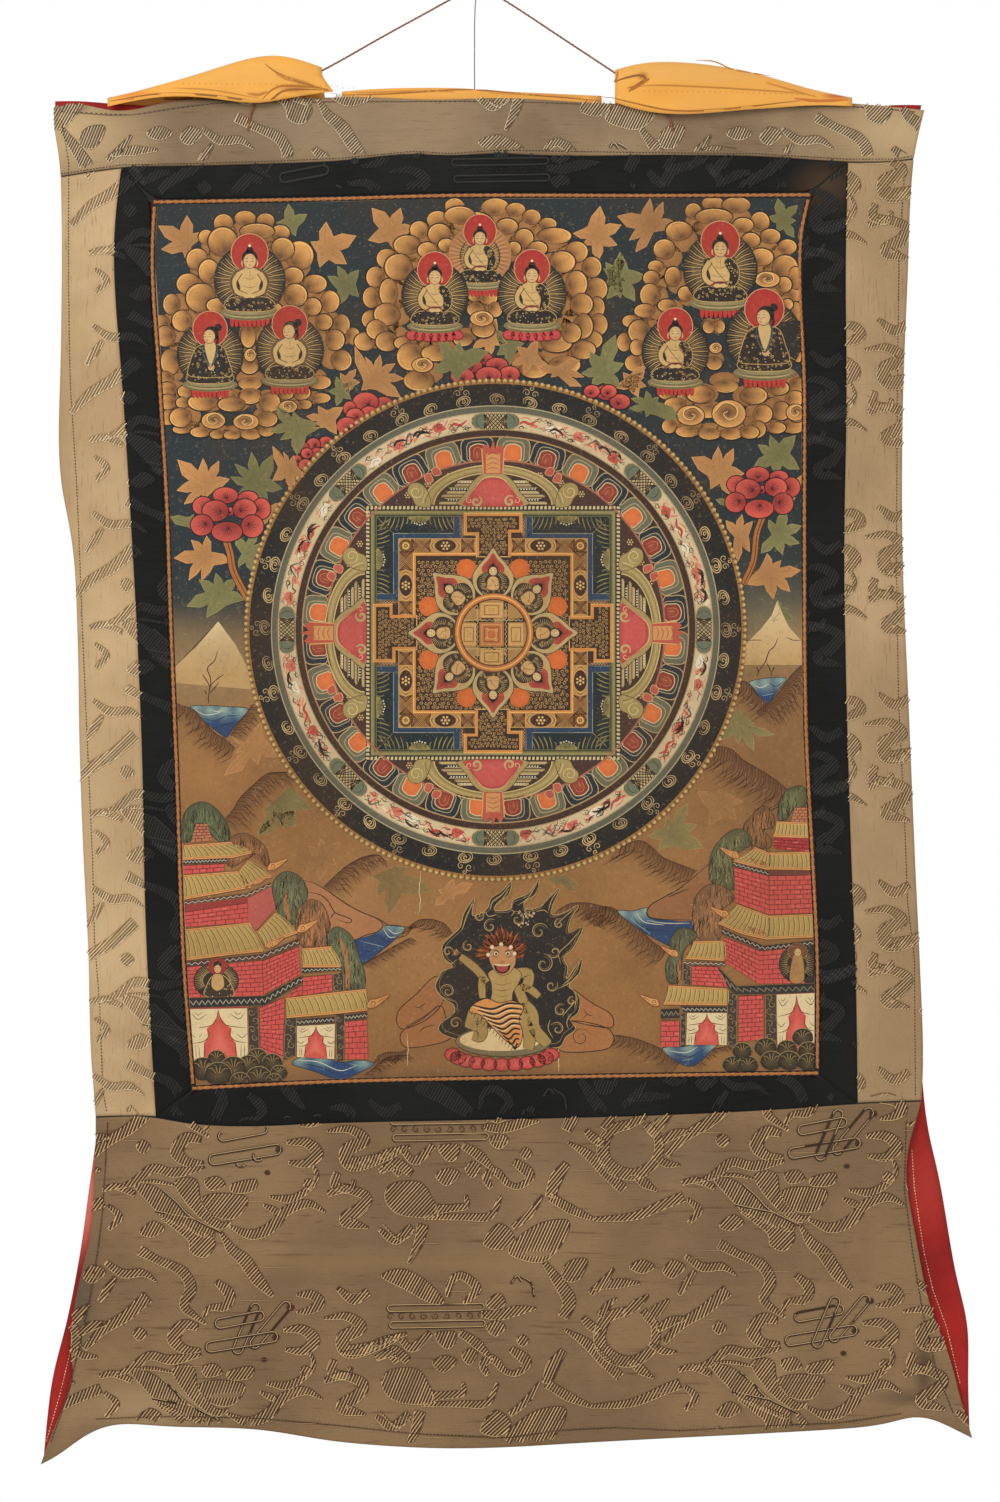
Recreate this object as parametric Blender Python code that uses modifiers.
"""A thangka scroll painting as it hangs: a painted canvas in a black satin frame with an orange
edging cord, set in a damask mount with a red lining, a yellow silk cover thrown over its top, and
a cord to hang it by.

Units in the tables are millimetres. The origin is the hanging point, where the cord bends over its
hook. +Z is up, +X is to the right as the picture is seen, and the picture faces -Y.
"""

import math

import bpy
import numpy as np

MM = 0.001

# Layers, measured along Y from the middle of the front cloths (positive is behind).
FRONT_THICK = 1.2
LINING_THICK = 1.0
LINING_BEHIND = 3.3
VEIL_THICK = 1.0
VEIL_BEHIND = 7.2
SEAM_GAP = 0.5
STRIP_END_GAP = 0.7
PIPING_DIAMETER = 2.4
PIPING_FORWARD = 0.3
PIPING_SLOT = PIPING_DIAMETER / 2 + 0.6
CORD_DIAMETER = 1.3
THREAD_DIAMETER = 0.8

# ---------------------------------------------------------------- seams and edges
# Upright edges: (height z, x).
OUTER_LEFT = [
    (-76, -263.5), (-90, -263.5), (-104, -260.5), (-125, -259), (-230, -259), (-283, -260.5),
    (-310, -259), (-345, -252), (-408, -248.5), (-470, -247.5), (-541, -245), (-599, -242),
    (-664, -240.5), (-703, -237.5), (-751, -239), (-774, -240.5), (-813, -249.5), (-846, -253.5),
    (-868, -251), (-876, -255), (-905, -267), (-916, -270.5),
]
OUTER_RIGHT = [
    (-78, 276), (-90, 273), (-107, 269.5), (-185, 265.5), (-267, 262.5), (-357, 262.5),
    (-444, 266), (-552, 270.5), (-605, 273), (-680, 275), (-695, 273.5), (-721, 266),
    (-738, 264.5), (-773, 270), (-821, 280), (-850, 291.5), (-877, 298), (-900, 304.5),
]
BORDER_LEFT = [
    (-115, -221.5), (-156, -226), (-188, -225.5), (-252, -220.5), (-315, -216.5), (-394, -212),
    (-477, -208.5), (-577, -206.5), (-661, -202.5), (-702, -200),
]
BORDER_RIGHT = [
    (-112, 228.5), (-172, 227), (-252, 227.5), (-357, 226), (-444, 227.5), (-544, 230.5),
    (-605, 233), (-694, 234.5),
]
PIPING_LEFT = [
    (-136, -201), (-171, -202.5), (-244, -198), (-330, -193), (-378, -191.5), (-494, -187),
    (-605, -183), (-684, -177),
]
PIPING_RIGHT = [
    (-131, 204.5), (-156, 199.5), (-252, 201.5), (-345, 201.5), (-461, 202.5), (-560, 207.5),
    (-605, 209.5), (-675, 209.5),
]
LINING_LEFT = [
    (-73, -263), (-90, -262), (-104, -259), (-125, -257.5), (-230, -257.5), (-283, -259),
    (-310, -257.5), (-345, -250.5), (-408, -247), (-541, -243.5), (-664, -239), (-703, -236),
    (-723, -238.5), (-751, -242.5), (-785, -247), (-833, -256.5), (-863, -264.5), (-896, -268),
    (-912, -269),
]
LINING_RIGHT = [
    (-74, 274.5), (-90, 271.5), (-107, 268), (-185, 264), (-267, 261), (-357, 261),
    (-444, 264.5), (-552, 269), (-605, 271.5), (-680, 274), (-694, 276.5), (-708, 278),
    (-738, 285), (-801, 296), (-830, 303), (-871, 303), (-897, 303),
]
# Level edges: (x, height z).
HEAD_TOP = [
    (-264, -77), (-252.5, -73.5), (-230, -78.5), (-216, -79), (-195, -73.5), (-162, -71.5),
    (-143, -74), (-115, -71.5), (-66, -70.5), (-33, -72), (18, -71), (71, -74), (137, -75),
    (228, -74), (260, -77), (276, -78.5),
]
HEAD_SEAM = [
    (-259, -119.5), (-222, -114), (-173, -113), (-122, -111.5), (-86, -110), (-40, -105.5),
    (-18, -107), (12, -105), (32, -106.5), (112, -106.5), (171, -107), (228, -110.5),
    (256, -110.5), (269, -108.5),
]
PIPING_TOP = [(-200, -135.5), (-92, -133.5), (-19, -131.5), (112, -131.5), (204, -131)]
PIPING_BOTTOM = [(-177, -684.5), (-130, -682), (-82, -680), (13, -678), (106, -676.5), (209, -675)]
SKIRT_SEAM = [
    (-237.5, -702.5), (-202, -702), (-186, -705.5), (-147, -708), (-98, -706), (18, -703.5),
    (112, -701), (193, -697), (234, -694), (274, -692.5),
]
SKIRT_BOTTOM = [
    (-270.5, -916), (-266, -916.5), (-255, -906.5), (-235, -894.5), (-188, -894.5), (-130, -896.5),
    (-97, -902.5), (-32, -907.5), (5, -907.5), (68, -904), (125, -901), (200, -897), (250, -893),
    (275, -887), (285, -890.5), (304.5, -899.5),
]
LINING_TOP = [
    (-263, -72.5), (-248, -72), (-230, -74), (-205, -75), (-190, -76.5), (-143, -77), (-66, -75.5),
    (71, -77), (228, -77), (250, -76), (262, -74), (275, -75),
]
LINING_BOTTOM = [
    (-269, -912), (-255, -902), (-235, -892), (-130, -894), (-32, -905), (5, -905), (125, -898.5),
    (250, -890.5), (275, -884.5), (303, -896),
]

# ---------------------------------------------------------------- how the cloth hangs
# Soft ridges and troughs: name, middle x, middle z, half length, half width, turn of the length
# from level in degrees, depth (positive bends away from the viewer).
FOLDS = [
    ("picture_crown", 5, -400, 330, 330, 0, -4.0),
    ("left_corner_curl", -276, -922, 34, 40, 40, -13.0),
    ("right_corner_curl", 312, -905, 36, 36, -45, -15.0),
    ("right_trough", 277, -868, 42, 9, 78, 3.0),
    ("right_worn_fold", 188, -868, 40, 16, -48, -1.8),
    ("skirt_roll_1", 40, -728, 300, 13, 1, 1.3),
    ("skirt_roll_2", -30, -789, 280, 15, 0, -1.5),
    ("skirt_roll_3", 30, -812, 300, 12, 0, 1.2),
    ("skirt_roll_4", 0, -868, 300, 14, 0, 1.4),
    ("left_side_kink", -246, -802, 26, 16, 70, -2.6),
    ("left_wave_high", -256, -180, 50, 18, 88, -1.6),
    ("left_wave_low", -258, -290, 34, 16, 80, 2.0),
    ("right_wave", 264, -300, 110, 20, 90, 1.6),
    ("head_wave_1", -222, -84, 22, 13, 80, 2.0),
    ("head_wave_2", -190, -84, 22, 14, 95, -1.6),
    ("head_wave_3", -143, -88, 22, 14, 90, 1.6),
    ("head_wave_4", -33, -88, 22, 16, 90, 1.2),
    ("head_wave_5", 82, -90, 26, 18, 90, 1.4),
    ("head_wave_6", 255, -92, 26, 16, 70, -1.8),
]


def line_through(rows):
    """A function that gives the smooth line through the rows at any station, straight beyond them."""
    rows = sorted(rows)
    at = np.array([row[0] for row in rows], float)
    value = np.array([row[1] for row in rows], float)
    step = np.diff(at)
    rise = np.diff(value) / step
    slope = np.concatenate([[rise[0]], (rise[:-1] + rise[1:]) / 2, [rise[-1]]])

    def line(station):
        station = np.asarray(station, float)
        k = np.clip(np.searchsorted(at, station) - 1, 0, len(step) - 1)
        u = np.clip((station - at[k]) / step[k], 0, 1)
        start, end = slope[k] * step[k], slope[k + 1] * step[k]
        return (
            value[k] * (2 * u**3 - 3 * u**2 + 1)
            + start * (u**3 - 2 * u**2 + u)
            + value[k + 1] * (3 * u**2 - 2 * u**3)
            + end * (u**3 - u**2)
        )

    return line


def moved(line, by):
    """The same line, moved sideways."""
    return lambda station: line(station) + by


def depth(x, z):
    """How far behind the front cloths' plane the cloth hangs at x, z."""
    y = np.zeros(np.broadcast(x, z).shape)
    for _, mid_x, mid_z, length, width, turn, deep in FOLDS:
        angle = math.radians(turn)
        along = (x - mid_x) * math.cos(angle) + (z - mid_z) * math.sin(angle)
        across = (z - mid_z) * math.cos(angle) - (x - mid_x) * math.sin(angle)
        y = y + deep * np.exp(-((along / length) ** 2) - (across / width) ** 2)
    return y


# ---------------------------------------------------------------- building pieces


def material(name, colour, roughness, metallic=0.0):
    made = bpy.data.materials.new(name)
    made.use_nodes = True
    shader = made.node_tree.nodes["Principled BSDF"]
    shader.inputs["Base Color"].default_value = (*colour, 1.0)
    shader.inputs["Roughness"].default_value = roughness
    shader.inputs["Metallic"].default_value = metallic
    made.diffuse_color = (*colour, 1.0)
    return made


def add_object(name, data, look, collection):
    made = bpy.data.objects.new(name, data)
    data.materials.append(look)
    collection.objects.link(made)
    return made


def sheet(name, points, faces, thick, look, collection):
    """A cloth sheet: an open surface of points in millimetres, given its thickness by Solidify."""
    mesh = bpy.data.meshes.new(name)
    mesh.from_pydata((np.asarray(points) * MM).tolist(), [], faces)
    mesh.shade_smooth()
    made = add_object(name, mesh, look, collection)
    body = made.modifiers.new("thickness", "SOLIDIFY")
    body.thickness = thick * MM
    body.offset = 0.0
    body.use_even_offset = False
    return made


def grid_faces(columns, rows):
    """The quads of a grid whose points run column by column, each facing -Y."""
    return [
        (c * rows + r, (c + 1) * rows + r, (c + 1) * rows + r + 1, c * rows + r + 1)
        for c in range(columns - 1)
        for r in range(rows - 1)
    ]


def even(count):
    return np.linspace(0, 1, count)


def crowded(count):
    """Stations from 0 to 1 that lie closer together towards both ends."""
    return (even(count) + (1 - np.cos(math.pi * even(count))) / 2) / 2


def stretches(*runs):
    """Stations from 0 to 1 in runs, each given by where it ends and how many steps it has."""
    stations = [0.0]
    for end, steps in runs:
        start = stations[-1]
        stations.extend(start + (end - start) * step / steps for step in range(1, steps + 1))
    return np.array(stations)


def panel(name, left, right, bottom, top, columns, rows, behind, thick, look, collection):
    """A sheet between two upright edges, x at a height, and two level edges, height at an x.

    columns and rows are the stations of its grid lines, from 0 to 1, left to right and upwards.
    """
    u, v = np.meshgrid(columns, rows, indexing="ij")
    x, z = np.zeros_like(u), np.zeros_like(v)
    for _ in range(30):
        z = bottom(x) * (1 - v) + top(x) * v
        x = left(z) * (1 - u) + right(z) * u
    points = np.stack([x, depth(x, z) + behind, z], -1).reshape(-1, 3)
    faces = grid_faces(len(columns), len(rows))
    return sheet(name, points, faces, thick, look, collection)


def corner(upright, level):
    """Where an upright edge and a level edge cross."""
    x, z = 0.0, -400.0
    for _ in range(40):
        z = float(level(x))
        x = float(upright(z))
    return x, z


def mitred_strip(name, inner, outer, inner_ends, outer_ends, is_level, count, look, collection):
    """One side of the black frame, with its ends cut slanting from inner to outer corners."""
    across = np.linspace(0, 1, 3)
    rows = len(across)
    points = []
    for share in np.linspace(0, 1, count):
        for w in across:
            start = inner_ends[0] * (1 - w) + outer_ends[0] * w
            end = inner_ends[1] * (1 - w) + outer_ends[1] * w
            station = start + (end - start) * share
            other = float(inner(station)) * (1 - w) + float(outer(station)) * w
            x, z = (station, other) if is_level else (other, station)
            points.append((x, float(depth(x, z)), z))
    faces = grid_faces(count, rows)
    mesh_faces = [face[::-1] for face in faces]
    first = np.array(points)[list(mesh_faces[0])]
    if np.cross(first[1] - first[0], first[2] - first[0])[1] > 0:
        mesh_faces = faces
    return sheet(name, points, mesh_faces, FRONT_THICK, look, collection)


def tube(name, route, diameter, look, collection):
    """A cord along the route's points, in millimetres, with closed ends."""
    curve = bpy.data.curves.new(name, "CURVE")
    curve.dimensions = "3D"
    curve.bevel_depth = diameter / 2 * MM
    curve.bevel_resolution = 2
    curve.use_fill_caps = True
    spline = curve.splines.new("POLY")
    spline.points.add(len(route) - 1)
    for point, place in zip(spline.points, route):
        point.co = (*(np.asarray(place) * MM), 1.0)
    spline.use_smooth = True
    return add_object(name, curve, look, collection)


def smooth_route(points, count):
    """Evenly spaced points on the smooth curve through the given ones."""
    points = np.array(points, float)
    chord = np.concatenate([[0], np.cumsum(np.linalg.norm(np.diff(points, axis=0), axis=1))])
    lines = [line_through(list(zip(chord, points[:, k]))) for k in range(3)]
    fine = np.stack([line(np.linspace(0, chord[-1], 1500)) for line in lines], -1)
    along = np.concatenate([[0], np.cumsum(np.linalg.norm(np.diff(fine, axis=0), axis=1))])
    stations = np.linspace(0, along[-1], count)
    return np.stack([np.interp(stations, along, fine[:, k]) for k in range(3)], -1)


# ---------------------------------------------------------------- the pieces
EDGES = {
    name: line_through(rows)
    for name, rows in {
        "outer_left": OUTER_LEFT,
        "outer_right": OUTER_RIGHT,
        "border_left": BORDER_LEFT,
        "border_right": BORDER_RIGHT,
        "piping_left": PIPING_LEFT,
        "piping_right": PIPING_RIGHT,
        "lining_left": LINING_LEFT,
        "lining_right": LINING_RIGHT,
        "head_top": HEAD_TOP,
        "head_seam": HEAD_SEAM,
        "piping_top": PIPING_TOP,
        "piping_bottom": PIPING_BOTTOM,
        "skirt_seam": SKIRT_SEAM,
        "skirt_bottom": SKIRT_BOTTOM,
        "lining_top": LINING_TOP,
        "lining_bottom": LINING_BOTTOM,
    }.items()
}


def make_mount(looks, collection):
    """The damask head, sides and skirt."""
    e, half = EDGES, SEAM_GAP / 2
    damask = looks["damask"]
    panel(
        "head_panel", e["outer_left"], e["outer_right"], moved(e["head_seam"], half),
        e["head_top"], even(37), even(4), 0, FRONT_THICK, damask, collection,
    )
    level = moved(e["skirt_seam"], STRIP_END_GAP), moved(e["head_seam"], -STRIP_END_GAP)
    panel(
        "side_strip_left", e["outer_left"], moved(e["border_left"], -half), *level,
        even(3), even(34), 0, FRONT_THICK, damask, collection,
    )
    panel(
        "side_strip_right", moved(e["border_right"], half), e["outer_right"], *level,
        even(3), even(34), 0, FRONT_THICK, damask, collection,
    )
    panel(
        "skirt_panel", e["outer_left"], e["outer_right"], e["skirt_bottom"],
        moved(e["skirt_seam"], -half), crowded(33), even(17), 0, FRONT_THICK, damask, collection,
    )


def make_frame(looks, collection):
    """The black satin frame: four strips with mitred corners."""
    e, half = EDGES, SEAM_GAP / 2
    inner = {
        "left": moved(e["piping_left"], -PIPING_SLOT),
        "right": moved(e["piping_right"], PIPING_SLOT),
        "top": moved(e["piping_top"], PIPING_SLOT),
        "bottom": moved(e["piping_bottom"], -PIPING_SLOT),
    }
    outer = {
        "left": moved(e["border_left"], half),
        "right": moved(e["border_right"], -half),
        "top": moved(e["head_seam"], -half),
        "bottom": moved(e["skirt_seam"], half),
    }
    for side, upright_pair, count in (("top", "lr", 24), ("bottom", "lr", 24)):
        ends = []
        for edges in (inner, outer):
            left_x = corner(edges["left"], edges[side])[0]
            right_x = corner(edges["right"], edges[side])[0]
            ends.append((left_x + half, right_x - half))
        mitred_strip(
            f"border_{side}", inner[side], outer[side], ends[0], ends[1], True, count,
            looks["satin"], collection,
        )
    for side in ("left", "right"):
        ends = []
        for edges in (inner, outer):
            low = corner(edges[side], edges["bottom"])[1]
            high = corner(edges[side], edges["top"])[1]
            ends.append((low + half, high - half))
        mitred_strip(
            f"border_{side}", inner[side], outer[side], ends[0], ends[1], False, 28,
            looks["satin"], collection,
        )


def make_piping(looks, collection):
    """The orange edging cord: it lies in the slot between the painting and the black frame."""
    e = EDGES
    clear = PIPING_DIAMETER + SEAM_GAP
    for name, line, ends in (
        ("top", e["piping_top"], ("piping_left", "piping_right")),
        ("bottom", e["piping_bottom"], ("piping_left", "piping_right")),
    ):
        start = corner(e[ends[0]], line)[0] - PIPING_DIAMETER / 4
        stop = corner(e[ends[1]], line)[0] + PIPING_DIAMETER / 4
        x = np.linspace(start, stop, 24)
        z = line(x)
        route = np.stack([x, depth(x, z) - PIPING_FORWARD, z], -1)
        tube(f"piping_{name}", route, PIPING_DIAMETER, looks["piping"], collection)
    for name in ("left", "right"):
        line = e[f"piping_{name}"]
        low = corner(line, e["piping_bottom"])[1] + clear
        high = corner(line, e["piping_top"])[1] - clear
        z = np.linspace(low, high, 28)
        x = line(z)
        route = np.stack([x, depth(x, z) - PIPING_FORWARD, z], -1)
        tube(f"piping_{name}", route, PIPING_DIAMETER, looks["piping"], collection)


def make_painting(looks, collection):
    e = EDGES
    panel(
        "painting", moved(e["piping_left"], PIPING_SLOT), moved(e["piping_right"], -PIPING_SLOT),
        moved(e["piping_bottom"], PIPING_SLOT), moved(e["piping_top"], -PIPING_SLOT),
        even(9), even(28), 0, FRONT_THICK, looks["canvas"], collection,
    )


def make_lining(looks, collection):
    e = EDGES
    panel(
        "lining", e["lining_left"], e["lining_right"], e["lining_bottom"], e["lining_top"],
        crowded(19), stretches((0.24, 15), (0.93, 14), (1, 5)), LINING_BEHIND, LINING_THICK, looks["lining"], collection,
    )


# The yellow cover. Each column is one section of it, front hem to back hem:
# tongue (which of the three stretches it is in), x at the front hem, x at the crest, height of the
# front hem, height of the crest, y of the front leg.
VEIL_COLUMNS = [
    ("left", -230, -230, -76.5, -70.5, -3.8),
    ("left", -215, -214, -73.0, -67.0, -4.0),
    ("left", -196, -195, -70.5, -62.0, -4.4),
    ("left", -176, -176, -70.5, -56.5, -5.0),
    ("left", -156, -157, -73.0, -50.0, -5.6),
    ("left", -138, -140, -75.5, -45.0, -6.0),
    ("left", -122, -125, -72.5, -43.5, -5.6),
    ("left", -106, -110, -69.5, -47.0, -5.2),
    ("left", -90, -97.5, -67.5, -51.5, -4.6),
    ("middle", -85, -85, -73.5, -66.5, 1.9),
    ("middle", -62, -62, -73.5, -64.5, 1.9),
    ("middle", -38, -38, -74.0, -64.0, 1.9),
    ("middle", -12, -12, -74.0, -64.0, 1.9),
    ("middle", 14, 14, -74.0, -66.5, 1.9),
    ("middle", 40, 40, -74.5, -67.5, 1.9),
    ("middle", 76, 76, -75.5, -69.0, 1.9),
    ("right", 84, 84.5, -74.0, -53.0, -4.2),
    ("right", 98, 98, -79.0, -49.0, -5.4),
    ("right", 114, 113, -81.5, -48.0, -6.2),
    ("right", 130, 129, -82.0, -48.5, -6.4),
    ("right", 148, 147, -80.5, -50.5, -6.0),
    ("right", 168, 167, -78.5, -54.0, -5.4),
    ("right", 188, 187, -77.5, -59.5, -4.8),
    ("right", 208, 208, -75.5, -66.0, -4.2),
    ("right", 231, 231, -76.5, -70.5, -3.8),
]
VEIL_ROOT_Z = -84
VEIL_HEM_Z = -630
VEIL_BACK_ROWS = 11
VEIL_ARCH_STEPS = 4
# How far the hanging cover sways: half wave in x, depth, phase.
VEIL_SWAY = [(74, 1.6, 0.4), (41, 0.8, 1.9)]


def veil_sway(x, z):
    """The soft upright folds of the hanging cover, growing downwards, always away from the lining."""
    grown = min(1.0, max(0.0, (VEIL_ROOT_Z - z) / 260))
    wave = sum(deep * (1 + math.sin(math.pi * x / half + at)) for half, deep, at in VEIL_SWAY)
    return grown * wave


def veil_section(column):
    """The points of one section, from the front hem over the crest to the root behind."""
    _, hem_x, crest_x, hem_z, crest_z, front = column
    base_y = float(depth(hem_x, VEIL_ROOT_Z))
    front_y, back_y = base_y + front, base_y + VEIL_BEHIND
    middle_y, half_y = (front_y + back_y) / 2, (back_y - front_y) / 2
    rise = min(half_y, (crest_z - hem_z) * 0.55)
    spring_z = crest_z - rise
    middle_z = (hem_z + spring_z) / 2
    lean_x = hem_x + (crest_x - hem_x) * 0.5
    section = [(hem_x, front_y, hem_z), (lean_x, front_y - 0.4, middle_z)]
    for step in range(VEIL_ARCH_STEPS + 1):
        angle = math.pi * step / VEIL_ARCH_STEPS
        y = middle_y - half_y * math.cos(angle)
        section.append((crest_x, y, spring_z + rise * math.sin(angle)))
    return section


def make_veil(looks, collection):
    """One sheet: short tongues over the top, open beside each leg of the cord, and one long drop."""
    points, faces = [], []
    free_rows = VEIL_ARCH_STEPS + 3
    rows = free_rows + VEIL_BACK_ROWS
    for column in VEIL_COLUMNS:
        section = veil_section(column)
        x = (column[1] + column[2]) / 2
        for z in np.linspace(VEIL_ROOT_Z, VEIL_HEM_Z, VEIL_BACK_ROWS):
            y = VEIL_BEHIND + float(depth(x, z)) + veil_sway(x, z)
            section.append((x, y, float(z)))
        points.extend(section)
    for c in range(len(VEIL_COLUMNS) - 1):
        joined = VEIL_COLUMNS[c][0] == VEIL_COLUMNS[c + 1][0]
        for r in range(0 if joined else free_rows, rows - 1):
            a, b = c * rows + r, (c + 1) * rows + r
            faces.append((a, a + 1, b + 1, b))
    sheet("veil", points, faces, VEIL_THICK, looks["veil"], collection)


# The hanging cord: from its stitches on the head, under the cover, over the hook and back down.
# Columns: x, y, height z, share of the cloth's own depth that is added to y.
CORD_ROUTE = [
    (-143.2, -1.8, -91, 1), (-142, -1.8, -84, 1), (-140, -1.9, -77.5, 1), (-134, -1.3, -72.5, 1),
    (-120, -0.6, -64.9, 0.7), (-97.5, 0, -53.9, 0.3), (-60, 0, -32.9, 0), (-18.2, 0, -9.9, 0),
    (-7, 0, -3.6, 0), (-3.2, 0, -1.5, 0), (0, 0, -0.65, 0), (3, 0, -1.9, 0), (6.3, 0, -4.4, 0),
    (15.5, 0, -10, 0), (50, 0, -32.6, 0), (84.5, 0, -55.4, 0.3), (104, -1.0, -68.5, 0.8),
    (113.5, -1.9, -77.5, 1), (118, -2.0, -84, 1), (120.3, -1.8, -91.5, 1),
]
THREAD_ROUTE = [
    (-2.6, 8.2, -74, 1), (-2.7, 8.2, -68, 1), (-2.8, 6.6, -56, 0.6), (-2.8, 4.0, -38, 0),
    (-2.6, 1.6, -20, 0), (-1.8, 0.5, -9, 0), (-0.4, 0.1, -3.6, 0),
]
KNOT_RADIUS = 1.8
KNOT_THICK = 0.9


def hung(route):
    """The route's points in space, following the cloth by each row's share."""
    return [(x, y + share * float(depth(x, z)), z) for x, y, z, share in route]


def make_cords(looks, collection):
    cord_route = smooth_route(hung(CORD_ROUTE), 64)
    tube("hanging_cord", cord_route, CORD_DIAMETER, looks["cord"], collection)
    thread_route = smooth_route(hung(THREAD_ROUTE), 22)
    tube("centre_thread", thread_route, THREAD_DIAMETER, looks["thread"], collection)
    bpy.ops.mesh.primitive_torus_add(
        major_radius=KNOT_RADIUS * MM, minor_radius=KNOT_THICK / 2 * MM,
        major_segments=16, minor_segments=8,
        location=(0, 0, -0.65 * MM), rotation=(0, math.pi / 2, 0),
    )
    knot = bpy.context.object
    knot.name = knot.data.name = "cord_knot"
    knot.data.materials.append(looks["thread"])
    for owner in list(knot.users_collection):
        owner.objects.unlink(knot)
    collection.objects.link(knot)


def main():
    for old in list(bpy.data.objects):
        bpy.data.objects.remove(old, do_unlink=True)
    collection = bpy.data.collections.new("thangka_scroll_painting")
    bpy.context.scene.collection.children.link(collection)
    looks = {
        "damask": material("damask", (0.34, 0.26, 0.16), 0.62),
        "satin": material("satin", (0.012, 0.013, 0.013), 0.45),
        "piping": material("piping", (0.55, 0.25, 0.09), 0.7),
        "canvas": material("canvas", (0.20, 0.13, 0.07), 0.75),
        "lining": material("lining", (0.5, 0.025, 0.02), 0.7),
        "veil": material("veil", (0.78, 0.42, 0.08), 0.5),
        "cord": material("cord", (0.28, 0.13, 0.05), 0.8),
        "thread": material("thread", (0.3, 0.27, 0.27), 0.8),
    }
    make_mount(looks, collection)
    make_frame(looks, collection)
    make_piping(looks, collection)
    make_painting(looks, collection)
    make_lining(looks, collection)
    make_veil(looks, collection)
    make_cords(looks, collection)


main()
